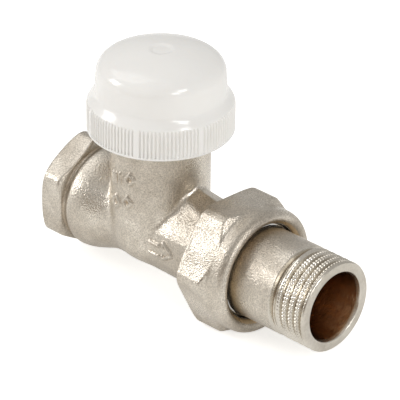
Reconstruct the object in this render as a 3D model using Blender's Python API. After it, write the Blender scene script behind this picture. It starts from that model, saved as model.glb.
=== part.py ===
"""Straight DN 15 lockshield valve: body, headwork, shield cap and union tailpiece, each piece a solid.

Frame: the origin is the centre of the inlet socket's mouth, +X runs along the pipe axis to the tailpiece,
+Z up the neck. Lengths are in metres; every size below is written in millimetres times mm.
Threads that stay hidden are plain cylinders with the clearance of their fit."""

import math

import bmesh
import bpy

mm = 0.001

# Clearances between neighbouring pieces
GAP = 0.3 * mm            # faces that bear on each other
RUNNING_GAP = 0.2 * mm    # a turning piece in its bore
SEAL_GAP = 0.15 * mm      # an O-ring in its groove
EDGE_BREAK = 0.3 * mm     # chamfer on the edges of small turned pieces

# Facets round a full turn
WIDE_SIDES = 40
SMALL_SIDES = 24
RING_SIDES = 8            # facets round an O-ring's or a wire's own section

# Tailpiece: G 1/2 male thread on a plain tube of the same diameter
TAIL_R = 10.4775 * mm
TAIL_REACH = 25.55 * mm           # from the spigot's end to the tail's end face
THREAD_PITCH = 1.814 * mm
THREAD_DEPTH = 1.1 * mm
THREAD_TURNS = 4
THREAD_CREST = 0.16               # part of the pitch that is flat crest
TAIL_THREAD_LENGTH = 10.1 * mm
TAIL_UNDERCUT = 1.0 * mm
TAIL_WALL = 1.56 * mm             # left under the thread
TAIL_END_CHAMFER = 0.9 * mm
TAIL_BORE_CHAMFER = 0.5 * mm
TAIL_FLANGE_STEP = 1.52 * mm      # how far the flange stands out from the tube
TAIL_FLANGE = 1.6 * mm
TAIL_NOSE_WALL = 1.1 * mm
TAIL_NOSE = 1.7 * mm
TAIL_NOSE_CHAMFER = 0.4 * mm
TAIL_SEAL_WIRE_R = 0.65 * mm
SNAP_WIRE_R = 0.55 * mm
SNAP_GROOVE_DEPTH = 0.5 * mm

# Union nut and the threaded spigot that it screws onto
NECK_TO_SPIGOT_END = 27.2 * mm
SPIGOT_LENGTH = 7.9 * mm
SPIGOT_STEP = 1.0 * mm            # how far the spigot's thread stands out from the tail's flange
SEAL_RECESS_DEPTH = 2.0 * mm
NUT_WALL = 0.95 * mm              # from the thread to the middle of a flat
NUT_CORNER_STEP = 1.82 * mm       # from the middle of a flat to the turned corners
NUT_BACK_GAP = 0.7 * mm           # from the spigot's shoulder to the nut's back face
NUT_HEX_LENGTH = 6.9 * mm
NUT_CONE_LENGTH = 1.9 * mm
NUT_BACK_CHAMFER = 0.6 * mm
NUT_COLLAR_STEP = 0.25 * mm       # how far the collar stands out from the flats
NUT_COLLAR_ROUND = 2.0 * mm
NUT_LIP = 2.0 * mm                # thickness of the inward lip that bears on the snap ring
NUT_HOLE_ROOM = 0.72 * mm         # between the tube and the lip's hole
NUT_HOLE_FLARE = 0.75 * mm
NUT_TURN = -2.7                   # degrees that the nut stands round from flat side up

# Valve body: the pipe run
INLET_TO_NECK = 26.3 * mm
SOCKET_R = 9.9 * mm               # mean radius of the Rp 1/2 thread
SOCKET_DEPTH = 12.0 * mm
SOCKET_MOUTH_CHAMFER = 0.8 * mm
SOCKET_WALL = 2.1 * mm            # to the middle of a flat of the inlet hexagon
INLET_CORNER_STEP = 1.6 * mm
INLET_HEX_LENGTH = 6.3 * mm
INLET_HEX_CHAMFER = 0.9 * mm
COLLAR_STEP = 0.9 * mm            # depth of the groove between the hexagon and the round bead
COLLAR_BEAD = 1.5 * mm            # how far the bead's front rounds down
WAIST_R = 9.6 * mm
SHOULDER_LENGTH = 9.6 * mm
OUTLET_BORE_R = 7.2 * mm
BOSS_WALL = 2.6 * mm
RIB_HEIGHT = 3.4 * mm             # of the roofed rib that braces the neck, over the boss
RIB_ROOF_HALF = 3.4 * mm
RIB_ROOF_DROP = 1.6 * mm
RIB_FOOT_HALF = 6.1 * mm

# Valve body: seat, chamber and neck
PASSAGE_R = 4.6 * mm
PASSAGE_Z = -3.0 * mm
POCKET_ROOM = 0.8 * mm            # over the passage, under the seat's web
SEAT_WEB = 1.6 * mm
SEAT_HOLE_R = 4.8 * mm
POCKET_STEP = 0.6 * mm
SEAT_LIP = 1.2 * mm
SEAT_LIP_HEIGHT = 0.6 * mm
CHAMBER_ROOM = 0.8 * mm           # round the plug
PARTITION = 1.5 * mm              # wall between the pocket under the seat and the outlet bore
WINDOW_R = 5.0 * mm
WINDOW_HEIGHT = 3.0 * mm
NECK_TOP = 25.0 * mm
NECK_WALL = 1.7 * mm
NECK_ROUND_DEPTH = 8.9 * mm

# Spindle, its seals and its retaining ring
JOURNAL_R = 4.0 * mm
THREAD_LEAD_IN = 0.5 * mm
SPINDLE_THREAD_STEP = 0.2 * mm
SPINDLE_SEAL_WIRE_R = 0.55 * mm
SEAL_SPACING = 2.8 * mm
SHOULDER_STEP = 1.5 * mm
SHOULDER = 2.0 * mm
SLIP_RING = 0.6 * mm
HEAD_STEP = 0.5 * mm
HEAD = 2.2 * mm
HEAD_RECESS = 0.7 * mm            # how deep the head stands in the bonnet
KEY_FLATS = 6.0 * mm
KEY_DEPTH = 4.3 * mm
CIRCLIP = 0.8 * mm
CIRCLIP_BITE = 0.6 * mm           # how far the circlip stands into the bonnet's groove
CIRCLIP_OPENING = 40.0            # degrees

# Plug, seat washer and its fixing
PLUG_LIFT = 3.5 * mm
PLUG_WALL = 1.5 * mm
PLUG_GUIDED = 4.0 * mm            # how far its stem stands in the guide with the valve shut
PLUG_FLANGE = 1.8 * mm
PLUG_RIM = 0.6 * mm
PLUG_SKIRT = 1.3 * mm
PLUG_SCREW_COVER = 0.6 * mm       # left over the end of the screw's hole
WASHER_MARGIN = 0.3 * mm          # beyond the seat's lip
WASHER = 2.0 * mm
RETAINER_R = 3.6 * mm
RETAINER = 0.8 * mm
SCREW_HEAD_R = 2.4 * mm
SCREW_HEAD = 1.1 * mm
SCREW_R = 1.5 * mm
SCREW_SLOT = 0.7 * mm

# Bonnet: the headwork insert in the neck
BONNET_STEP = 1.2 * mm            # how far its spigot is wider than the chamber
BONNET_DEPTH = 11.0 * mm          # of the spigot into the neck
BONNET_OVERHANG = 3.65 * mm       # of the M30 x 1.5 collar beyond the neck
BONNET_COLLAR = 5.7 * mm
BONNET_HEX_FLATS = 22.0 * mm
BONNET_HEX_CORNER_R = 12.2 * mm
BONNET_HEX = 3.4 * mm
BONNET_CROWN = 3.0 * mm
BONNET_THREAD_CHAMFER = 0.7 * mm
BONNET_HEX_CHAMFER = 0.6 * mm
BONNET_CROWN_WALL = 1.9 * mm
BONNET_SEAL_WIRE_R = 0.75 * mm

# Shield cap
CAP_OVERLAP = 0.85 * mm           # of the skirt over the neck's top
CAP_SKIRT_WALL = 1.35 * mm
CAP_OGEE = 3.6 * mm
CAP_OGEE_DROP = 0.65 * mm         # from the top of the bonnet's collar to the foot of the ogee
CAP_CROWN_ROOM = 0.9 * mm         # round the spanner hexagon's corners
CAP_CROWN_WALL = 1.35 * mm
CAP_DRAFT = 0.25 * mm
CAP_ROUND = 2.2 * mm              # of the edge between the crown's side and its domed top
CAP_ROUND_DROP = 0.5 * mm         # of that rounding's centre below the ceiling over the gasket
CAP_DOME_R = 34.6 * mm
CAP_ROOF = 1.8 * mm
GASKET = 1.5 * mm
GASKET_SPREAD = 0.7 * mm          # between the gasket's edge and the crown's
GASKET_HOLE_R = 4.9 * mm
GASKET_CUP_WALL = 1.0 * mm
GASKET_CUP = 1.3 * mm

# Radii that follow from the tail outwards to the nut
tail_bore_r = TAIL_R - THREAD_DEPTH - TAIL_WALL
tail_flange_r = TAIL_R + TAIL_FLANGE_STEP
tail_nose_r = tail_bore_r + TAIL_NOSE_WALL
seal_recess_r = tail_nose_r + 2 * TAIL_SEAL_WIRE_R + 2 * RUNNING_GAP
spigot_r = tail_flange_r + SPIGOT_STEP
nut_bore_r = spigot_r + GAP
nut_flat_r = nut_bore_r + NUT_WALL
nut_corner_r = nut_flat_r + NUT_CORNER_STEP
nut_collar_r = nut_flat_r + NUT_COLLAR_STEP
nut_hole_r = TAIL_R + NUT_HOLE_ROOM

# Radii that follow from the seat outwards to the cap
seat_lip_r = SEAT_HOLE_R + SEAT_LIP
washer_r = seat_lip_r + WASHER_MARGIN
plug_flange_r = washer_r + GAP + PLUG_RIM
chamber_r = plug_flange_r + CHAMBER_ROOM
bonnet_spigot_r = chamber_r + BONNET_STEP
neck_bore_r = bonnet_spigot_r + GAP
neck_r = neck_bore_r + NECK_WALL
bonnet_collar_r = neck_r + BONNET_OVERHANG
cap_thread_r = bonnet_collar_r + GAP
cap_skirt_r = cap_thread_r + CAP_SKIRT_WALL
cap_crown_bore_r = BONNET_HEX_CORNER_R + CAP_CROWN_ROOM
cap_crown_r = cap_crown_bore_r + CAP_CROWN_WALL + CAP_DRAFT
pocket_r = SEAT_HOLE_R + POCKET_STEP
boss_r = OUTLET_BORE_R + BOSS_WALL
rib_top = boss_r + RIB_HEIGHT
rib_foot_z = math.sqrt(boss_r**2 - RIB_FOOT_HALF**2)
inlet_flat_r = SOCKET_R + SOCKET_WALL
inlet_corner_r = inlet_flat_r + INLET_CORNER_STEP
bead_r = inlet_flat_r + 0.1 * mm

# Radii of the spindle and what turns round it
spindle_thread_r = JOURNAL_R - SPINDLE_THREAD_STEP
spindle_bore_r = JOURNAL_R + RUNNING_GAP
spindle_groove_r = spindle_bore_r - 2 * (SPINDLE_SEAL_WIRE_R + SEAL_GAP)
shoulder_r = JOURNAL_R + SHOULDER_STEP
well_r = shoulder_r + RUNNING_GAP
head_r = JOURNAL_R + HEAD_STEP
plug_bore_r = spindle_thread_r + RUNNING_GAP
plug_flats = 2 * (plug_bore_r + PLUG_WALL)
guide_flats = plug_flats + 2 * GAP
bonnet_crown_r = well_r + BONNET_CROWN_WALL
bonnet_groove_r = neck_bore_r - 2 * (BONNET_SEAL_WIRE_R + SEAL_GAP)
gasket_r = bonnet_crown_r - GASKET_SPREAD

# Places along the pipe axis
spigot_end = INLET_TO_NECK + NECK_TO_SPIGOT_END
spigot_start = spigot_end - SPIGOT_LENGTH
flange_start = spigot_end + GAP
flange_end = flange_start + TAIL_FLANGE
snap_x = flange_end + GAP + SNAP_WIRE_R
snap_ring_r = TAIL_R - SNAP_GROOVE_DEPTH + SEAL_GAP + SNAP_WIRE_R
lip_start = snap_x + SNAP_WIRE_R + GAP
nut_start = spigot_start + NUT_BACK_GAP
nut_end = lip_start + NUT_LIP
tail_end = spigot_end + TAIL_REACH

# Heights up the neck's axis
seat_floor = PASSAGE_Z + PASSAGE_R + POCKET_ROOM + SEAT_WEB
washer_bottom = seat_floor + SEAT_LIP_HEIGHT + GAP
washer_top = washer_bottom + WASHER
plug_flange_top = washer_top + GAP + PLUG_FLANGE
plug_bore_bottom = plug_flange_top + GAP
spindle_tip = plug_bore_bottom + PLUG_LIFT + GAP
bonnet_bottom = NECK_TOP - BONNET_DEPTH
chamber_top = bonnet_bottom - GAP
plug_top = bonnet_bottom + PLUG_GUIDED
guide_top = plug_top + PLUG_LIFT + 2 * GAP
collar_bottom = NECK_TOP + GAP
collar_top = collar_bottom + BONNET_COLLAR
hex_top = collar_top + BONNET_HEX
bonnet_top = hex_top + BONNET_CROWN
head_top = bonnet_top - HEAD_RECESS
shoulder_top = head_top - HEAD
shoulder_bottom = shoulder_top - SHOULDER
ledge_top = shoulder_bottom - SLIP_RING - 2 * RUNNING_GAP
bonnet_seal_z = NECK_TOP - BONNET_SEAL_WIRE_R - SEAL_GAP - 2 * GAP
first_seal = guide_top + 3 * GAP + SPINDLE_SEAL_WIRE_R + SEAL_GAP
spindle_seals = [first_seal, first_seal + SEAL_SPACING]
cap_bottom = NECK_TOP - CAP_OVERLAP
ogee_bottom = collar_top - CAP_OGEE_DROP
crown_base = ogee_bottom + CAP_OGEE
gasket_top = bonnet_top + GAP + GASKET
cap_ceiling = gasket_top + RUNNING_GAP

# Domed top of the cap: a ball's crown that runs into the rounded edge
cap_top_r = cap_crown_r - CAP_DRAFT
cap_round_r = cap_top_r - CAP_ROUND
cap_round_z = cap_ceiling - CAP_ROUND_DROP
dome_centre_z = cap_round_z - math.sqrt((CAP_DOME_R - CAP_ROUND)**2 - cap_round_r**2)
dome_edge = math.asin(cap_round_r / (CAP_DOME_R - CAP_ROUND))


def add_finish(name, colour, metallic, roughness):
    """A Principled material in one colour."""
    material = bpy.data.materials.new(name)
    material.use_nodes = True
    shader = material.node_tree.nodes["Principled BSDF"]
    shader.inputs["Base Color"].default_value = (*colour, 1.0)
    shader.inputs["Metallic"].default_value = metallic
    shader.inputs["Roughness"].default_value = roughness
    material.diffuse_color = (*colour, 1.0)
    return material


def add_object(name, mesh, finish):
    """Puts a mesh into the scene as a named piece with its finish, smooth except at real edges."""
    piece = bpy.data.objects.new(name, mesh)
    bpy.context.scene.collection.objects.link(piece)
    if finish:
        mesh.materials.append(finish)
    mesh.shade_smooth()
    mesh.set_sharp_from_angle(angle=math.radians(35))
    return piece


def along(axis, distance, radius):
    """The point at this distance along the axis and this radius from it, in the XZ plane."""
    return (distance, 0, radius) if axis == "X" else (radius, 0, distance)


def turned(name, outline, axis="Z", centre=0.0, sides=WIDE_SIDES, finish=None):
    """A lathe-turned piece. outline is its section as (distance along the axis, radius), closed by
    the axis or by its own last edge; centre is where a vertical axis stands along X."""
    mesh = bpy.data.meshes.new(name)
    bm = bmesh.new()
    verts = [bm.verts.new(along(axis, *point)) for point in outline]
    edges = [bm.edges.new((a, b)) for a, b in zip(verts, verts[1:])]
    if outline[0][1] or outline[-1][1]:
        edges.append(bm.edges.new((verts[-1], verts[0])))
    direction = (1, 0, 0) if axis == "X" else (0, 0, 1)
    bmesh.ops.spin(
        bm, geom=verts + edges, cent=(0, 0, 0), axis=direction,
        angle=2 * math.pi, steps=sides, use_merge=True,
    )
    bmesh.ops.remove_doubles(bm, verts=bm.verts, dist=1e-7)
    bmesh.ops.dissolve_degenerate(bm, edges=bm.edges, dist=1e-7)
    bmesh.ops.recalc_face_normals(bm, faces=bm.faces)
    bm.to_mesh(mesh)
    bm.free()
    piece = add_object(name, mesh, finish)
    piece.location.x = centre
    return piece


def prism(name, section, start, end, axis="X", finish=None):
    """A straight bar between two distances along its axis. section is its (Y, Z) outline along X,
    or its (X, Y) outline along Z."""
    mesh = bpy.data.meshes.new(name)
    bm = bmesh.new()
    place = (lambda u, v: (start, u, v)) if axis == "X" else (lambda u, v: (u, v, start))
    verts = [bm.verts.new(place(u, v)) for u, v in section]
    face = bm.faces.new(verts)
    grown = bmesh.ops.extrude_face_region(bm, geom=[face])["geom"]
    step = (end - start, 0, 0) if axis == "X" else (0, 0, end - start)
    bmesh.ops.translate(bm, vec=step, verts=[v for v in grown if isinstance(v, bmesh.types.BMVert)])
    bmesh.ops.recalc_face_normals(bm, faces=bm.faces)
    bm.to_mesh(mesh)
    bm.free()
    return add_object(name, mesh, finish)


def hexagon(flats, corner_at, centre=0.0):
    """Corners of a hexagon of this width across flats, the first one at an angle in degrees."""
    corner_r = flats / 2 / math.cos(math.radians(30))
    turns = [math.radians(corner_at + 60 * k) for k in range(6)]
    return [(centre + corner_r * math.cos(a), corner_r * math.sin(a)) for a in turns]


def ring(name, wire_r, ring_r, place, axis, centre, finish):
    """An O-ring or a closed wire ring: a round section turned about the axis."""
    angles = [2 * math.pi * k / RING_SIDES for k in range(RING_SIDES)]
    section = [(place + wire_r * math.cos(a), ring_r + wire_r * math.sin(a)) for a in angles]
    return turned(name, section, axis, centre, sides=SMALL_SIDES, finish=finish)


def combine(piece, other, operation):
    """Joins, cuts or crops a piece with a helper, which stays out of the finished object."""
    other.hide_render = True
    other.display_type = "WIRE"
    modifier = piece.modifiers.new(other.name, "BOOLEAN")
    modifier.operation = operation
    modifier.solver = "MANIFOLD"
    modifier.object = other


for old in list(bpy.data.objects):
    bpy.data.objects.remove(old)

blasted_nickel = add_finish("blasted_nickel", (0.58, 0.54, 0.48), 1.0, 0.42)
turned_nickel = add_finish("turned_nickel", (0.66, 0.62, 0.56), 1.0, 0.22)
bare_brass = add_finish("bare_brass", (0.62, 0.42, 0.18), 1.0, 0.3)
stainless = add_finish("stainless", (0.6, 0.6, 0.6), 1.0, 0.25)
black_rubber = add_finish("black_rubber", (0.02, 0.02, 0.02), 0.0, 0.6)
white_ptfe = add_finish("white_ptfe", (0.85, 0.85, 0.83), 0.0, 0.5)
white_plastic = add_finish("white_plastic", (0.9, 0.89, 0.87), 0.0, 0.25)


def make_valve_body():
    """The forging: inlet hexagon, beaded shoulder, neck, roofed rib and threaded outlet spigot."""
    bead_x = INLET_HEX_LENGTH + COLLAR_STEP + COLLAR_BEAD
    groove_r = bead_r - COLLAR_STEP
    quarter = [math.pi / 2 * k / 6 for k in range(7)]
    bead = [
        (bead_x - COLLAR_BEAD * math.cos(a), groove_r + COLLAR_STEP * math.sin(a)) for a in quarter
    ]
    shoulder = [
        (bead_x + SHOULDER_LENGTH * k / 8, WAIST_R + (bead_r - WAIST_R) * math.cos(math.pi / 2 * k / 8))
        for k in range(1, 9)
    ]
    run = [
        (INLET_HEX_LENGTH - INLET_HEX_CHAMFER, 0), (INLET_HEX_LENGTH - INLET_HEX_CHAMFER, groove_r),
        *bead, *shoulder, (INLET_TO_NECK, boss_r), (spigot_start, boss_r),
        (spigot_start, spigot_r), (spigot_end - THREAD_PITCH / 2, spigot_r),
        (spigot_end, spigot_r - THREAD_PITCH / 2), (spigot_end, 0),
    ]
    body = turned("valve_body", run, "X", finish=blasted_nickel)

    hexagon_bar = prism(
        "inlet_hexagon", hexagon(2 * inlet_flat_r, 30), -GAP, INLET_HEX_LENGTH + GAP, "X"
    )
    rim_r = inlet_corner_r - INLET_HEX_CHAMFER * math.sqrt(3)
    blank = turned("inlet_hexagon_blank", [
        (0, 0), (0, rim_r), (INLET_HEX_CHAMFER, inlet_corner_r),
        (INLET_HEX_LENGTH - INLET_HEX_CHAMFER, inlet_corner_r),
        (INLET_HEX_LENGTH, rim_r), (INLET_HEX_LENGTH, 0),
    ], "X")
    combine(hexagon_bar, blank, "INTERSECT")
    combine(body, hexagon_bar, "UNION")

    round_end = [
        (-NECK_ROUND_DEPTH * math.sin(a), neck_r * math.cos(a))
        for a in (math.pi / 2 * k / 10 for k in range(1, 11))
    ]
    neck = turned("neck", [(NECK_TOP, 0), (NECK_TOP, neck_r), (0, neck_r), *round_end], "Z", INLET_TO_NECK)
    combine(body, neck, "UNION")

    roof = rib_top - RIB_ROOF_DROP
    rib = prism("roofed_rib", [
        (0, rib_top), (-RIB_ROOF_HALF, roof), (-RIB_FOOT_HALF, rib_foot_z), (-RIB_ROOF_HALF, boss_r / 2),
        (RIB_ROOF_HALF, boss_r / 2), (RIB_FOOT_HALF, rib_foot_z), (RIB_ROOF_HALF, roof),
    ], INLET_TO_NECK + chamber_r + GAP, spigot_start + GAP, "X")
    combine(body, rib, "UNION")

    mouth = SOCKET_MOUTH_CHAMFER
    combine(body, turned("socket_bore", [
        (-GAP, 0), (-GAP, SOCKET_R + mouth), (0, SOCKET_R + mouth), (mouth, SOCKET_R),
        (SOCKET_DEPTH, SOCKET_R), (SOCKET_DEPTH + SOCKET_R * 0.2, 0),
    ], "X"), "DIFFERENCE")

    passage = turned("inlet_passage", [
        (SOCKET_DEPTH - GAP, 0), (SOCKET_DEPTH - GAP, PASSAGE_R),
        (INLET_TO_NECK, PASSAGE_R), (INLET_TO_NECK, 0),
    ], "X", sides=SMALL_SIDES)
    passage.location.z = PASSAGE_Z
    combine(body, passage, "DIFFERENCE")

    web_bottom = seat_floor - SEAT_WEB
    combine(body, turned("seat_pocket", [
        (PASSAGE_Z - PASSAGE_R, 0), (PASSAGE_Z - PASSAGE_R, pocket_r * 0.8),
        (PASSAGE_Z - PASSAGE_R * 0.8, pocket_r), (web_bottom, pocket_r),
        (web_bottom, SEAT_HOLE_R), (seat_floor + SEAT_WEB, SEAT_HOLE_R), (seat_floor + SEAT_WEB, 0),
    ], "Z", INLET_TO_NECK, SMALL_SIDES), "DIFFERENCE")

    lip_top = seat_floor + SEAT_LIP_HEIGHT
    combine(body, turned("neck_bore", [
        (lip_top, 0), (lip_top, seat_lip_r), (seat_floor, seat_lip_r), (seat_floor, chamber_r),
        (chamber_top, chamber_r), (chamber_top, neck_bore_r),
        (NECK_TOP + GAP, neck_bore_r), (NECK_TOP + GAP, 0),
    ], "Z", INLET_TO_NECK, SMALL_SIDES), "DIFFERENCE")

    bore_start = INLET_TO_NECK + pocket_r + PARTITION
    combine(body, turned("outlet_bore", [
        (bore_start, 0), (bore_start, OUTLET_BORE_R), (spigot_end - SEAL_RECESS_DEPTH, OUTLET_BORE_R),
        (spigot_end - SEAL_RECESS_DEPTH, seal_recess_r), (spigot_end + GAP, seal_recess_r),
        (spigot_end + GAP, 0),
    ], "X", sides=SMALL_SIDES), "DIFFERENCE")
    window_floor = seat_floor + RUNNING_GAP
    combine(body, turned("outlet_window", [
        (window_floor, 0), (window_floor, WINDOW_R),
        (seat_floor + WINDOW_HEIGHT, WINDOW_R), (seat_floor + WINDOW_HEIGHT, 0),
    ], "Z", bore_start, SMALL_SIDES), "DIFFERENCE")


def make_bonnet():
    """The brass headwork screwed into the neck: cap thread, spanner hexagon, spindle bore, plug guide."""
    clip_bottom = shoulder_top + RUNNING_GAP
    groove_r = well_r + CIRCLIP_BITE + RUNNING_GAP
    seal_half = BONNET_SEAL_WIRE_R + SEAL_GAP
    bonnet = turned("bonnet", [
        (bonnet_bottom, spindle_bore_r), (bonnet_bottom, bonnet_spigot_r),
        (bonnet_seal_z - seal_half, bonnet_spigot_r), (bonnet_seal_z - seal_half, bonnet_groove_r),
        (bonnet_seal_z + seal_half, bonnet_groove_r), (bonnet_seal_z + seal_half, bonnet_spigot_r),
        (collar_bottom, bonnet_spigot_r), (collar_bottom, bonnet_collar_r - BONNET_THREAD_CHAMFER),
        (collar_bottom + BONNET_THREAD_CHAMFER, bonnet_collar_r),
        (collar_top - BONNET_THREAD_CHAMFER, bonnet_collar_r),
        (collar_top, bonnet_collar_r - BONNET_THREAD_CHAMFER), (collar_top, bonnet_crown_r),
        (bonnet_top, bonnet_crown_r), (bonnet_top, well_r),
        (clip_bottom + CIRCLIP + 2 * RUNNING_GAP, well_r),
        (clip_bottom + CIRCLIP + 2 * RUNNING_GAP, groove_r),
        (clip_bottom, groove_r), (clip_bottom, well_r), (ledge_top, well_r), (ledge_top, spindle_bore_r),
    ], "Z", INLET_TO_NECK, finish=bare_brass)
    spanner_hex = prism(
        "spanner_hexagon", hexagon(BONNET_HEX_FLATS, 0, INLET_TO_NECK), collar_top - GAP, hex_top, "Z"
    )
    combine(spanner_hex, turned("spanner_hexagon_blank", [
        (collar_top - 2 * GAP, bonnet_crown_r - GAP), (collar_top - 2 * GAP, BONNET_HEX_CORNER_R),
        (hex_top - BONNET_HEX_CHAMFER, BONNET_HEX_CORNER_R),
        (hex_top, BONNET_HEX_CORNER_R - BONNET_HEX_CHAMFER * math.sqrt(3)),
        (hex_top, bonnet_crown_r - GAP),
    ], "Z", INLET_TO_NECK), "INTERSECT")
    combine(bonnet, spanner_hex, "UNION")
    guide = prism(
        "plug_guide", hexagon(guide_flats, 0, INLET_TO_NECK), bonnet_bottom - GAP, guide_top, "Z"
    )
    combine(bonnet, guide, "DIFFERENCE")


def make_spindle():
    """The spindle turns in the bonnet and never rises: its left-hand thread draws the plug up and down."""
    half = SPINDLE_SEAL_WIRE_R + SEAL_GAP
    outline = [(spindle_tip, 0), (spindle_tip, spindle_thread_r - THREAD_LEAD_IN)]
    outline += [
        (spindle_tip + THREAD_LEAD_IN, spindle_thread_r), (guide_top, spindle_thread_r),
        (guide_top, JOURNAL_R),
    ]
    for z in spindle_seals:
        outline += [
            (z - half, JOURNAL_R), (z - half, spindle_groove_r),
            (z + half, spindle_groove_r), (z + half, JOURNAL_R),
        ]
    outline += [
        (shoulder_bottom, JOURNAL_R), (shoulder_bottom, shoulder_r), (shoulder_top, shoulder_r),
        (shoulder_top, head_r), (head_top - EDGE_BREAK, head_r),
        (head_top, head_r - EDGE_BREAK), (head_top, 0),
    ]
    spindle = turned("spindle", outline, "Z", INLET_TO_NECK, SMALL_SIDES, bare_brass)
    key = prism(
        "key_socket", hexagon(KEY_FLATS, 0, INLET_TO_NECK), head_top - KEY_DEPTH, head_top + GAP, "Z"
    )
    combine(spindle, key, "DIFFERENCE")


def make_headwork_rings():
    """Seals, slip ring and circlip of the headwork."""
    ring_r = bonnet_groove_r + SEAL_GAP + BONNET_SEAL_WIRE_R
    ring("bonnet_o_ring", BONNET_SEAL_WIRE_R, ring_r, bonnet_seal_z, "Z", INLET_TO_NECK, black_rubber)
    ring_r = spindle_groove_r + SEAL_GAP + SPINDLE_SEAL_WIRE_R
    for name, z in zip(("spindle_o_ring_lower", "spindle_o_ring_upper"), spindle_seals):
        ring(name, SPINDLE_SEAL_WIRE_R, ring_r, z, "Z", INLET_TO_NECK, black_rubber)
    turned("slip_ring", [
        (ledge_top + RUNNING_GAP, spindle_bore_r), (ledge_top + RUNNING_GAP, shoulder_r),
        (shoulder_bottom - RUNNING_GAP, shoulder_r), (shoulder_bottom - RUNNING_GAP, spindle_bore_r),
    ], "Z", INLET_TO_NECK, SMALL_SIDES, white_ptfe)
    bottom = shoulder_top + 2 * RUNNING_GAP
    outer_r = well_r + CIRCLIP_BITE
    inner_r = head_r + RUNNING_GAP
    open_half = math.radians(CIRCLIP_OPENING / 2)
    arc = [open_half + (2 * math.pi - 2 * open_half) * k / SMALL_SIDES for k in range(SMALL_SIDES + 1)]
    outside = [(INLET_TO_NECK + outer_r * math.cos(a), outer_r * math.sin(a)) for a in arc]
    inside = [(INLET_TO_NECK + inner_r * math.cos(a), inner_r * math.sin(a)) for a in reversed(arc)]
    prism("circlip", outside + inside, bottom, bottom + CIRCLIP, "Z", finish=stainless)


def make_plug():
    """The plug slides in the bonnet's hexagonal guide and carries the washer that closes the seat."""
    screw_hole_r = SCREW_R + RUNNING_GAP
    skirt_bottom = washer_top + GAP - PLUG_SKIRT
    screw_top = plug_flange_top - PLUG_SCREW_COVER
    plug = turned("plug", [
        (screw_top, 0), (screw_top, screw_hole_r), (washer_top + GAP, screw_hole_r),
        (washer_top + GAP, washer_r + GAP), (skirt_bottom, washer_r + GAP), (skirt_bottom, plug_flange_r),
        (plug_flange_top, plug_flange_r), (plug_flange_top, 0),
    ], "Z", INLET_TO_NECK, SMALL_SIDES, bare_brass)
    combine(plug, prism(
        "plug_stem", hexagon(plug_flats, 0, INLET_TO_NECK), plug_flange_top - GAP, plug_top, "Z"
    ), "UNION")
    combine(plug, turned("plug_stem_bore", [
        (plug_bore_bottom, 0), (plug_bore_bottom, plug_bore_r),
        (plug_top + GAP, plug_bore_r), (plug_top + GAP, 0),
    ], "Z", INLET_TO_NECK, SMALL_SIDES), "DIFFERENCE")

    turned("seat_washer", [
        (washer_bottom, screw_hole_r), (washer_bottom, washer_r),
        (washer_top, washer_r), (washer_top, screw_hole_r),
    ], "Z", INLET_TO_NECK, SMALL_SIDES, black_rubber)
    retainer_top = washer_bottom - GAP
    retainer_bottom = retainer_top - RETAINER
    turned("washer_retainer", [
        (retainer_bottom, screw_hole_r), (retainer_bottom, RETAINER_R - EDGE_BREAK),
        (retainer_bottom + EDGE_BREAK, RETAINER_R),
        (retainer_top, RETAINER_R), (retainer_top, screw_hole_r),
    ], "Z", INLET_TO_NECK, SMALL_SIDES, bare_brass)
    head_top_z = retainer_bottom - GAP
    head_bottom = head_top_z - SCREW_HEAD
    screw = turned("washer_screw", [
        (head_bottom, 0), (head_bottom, SCREW_HEAD_R - EDGE_BREAK),
        (head_bottom + EDGE_BREAK, SCREW_HEAD_R),
        (head_top_z, SCREW_HEAD_R), (head_top_z, SCREW_R),
        (screw_top - GAP, SCREW_R), (screw_top - GAP, 0),
    ], "Z", INLET_TO_NECK, SMALL_SIDES, stainless)
    half = SCREW_SLOT / 2
    slot = [
        (INLET_TO_NECK - 2 * SCREW_HEAD_R, -half), (INLET_TO_NECK + 2 * SCREW_HEAD_R, -half),
        (INLET_TO_NECK + 2 * SCREW_HEAD_R, half), (INLET_TO_NECK - 2 * SCREW_HEAD_R, half),
    ]
    combine(screw, prism(
        "driver_slot", slot, head_bottom - GAP, head_bottom + SCREW_HEAD / 2, "Z"
    ), "DIFFERENCE")


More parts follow.
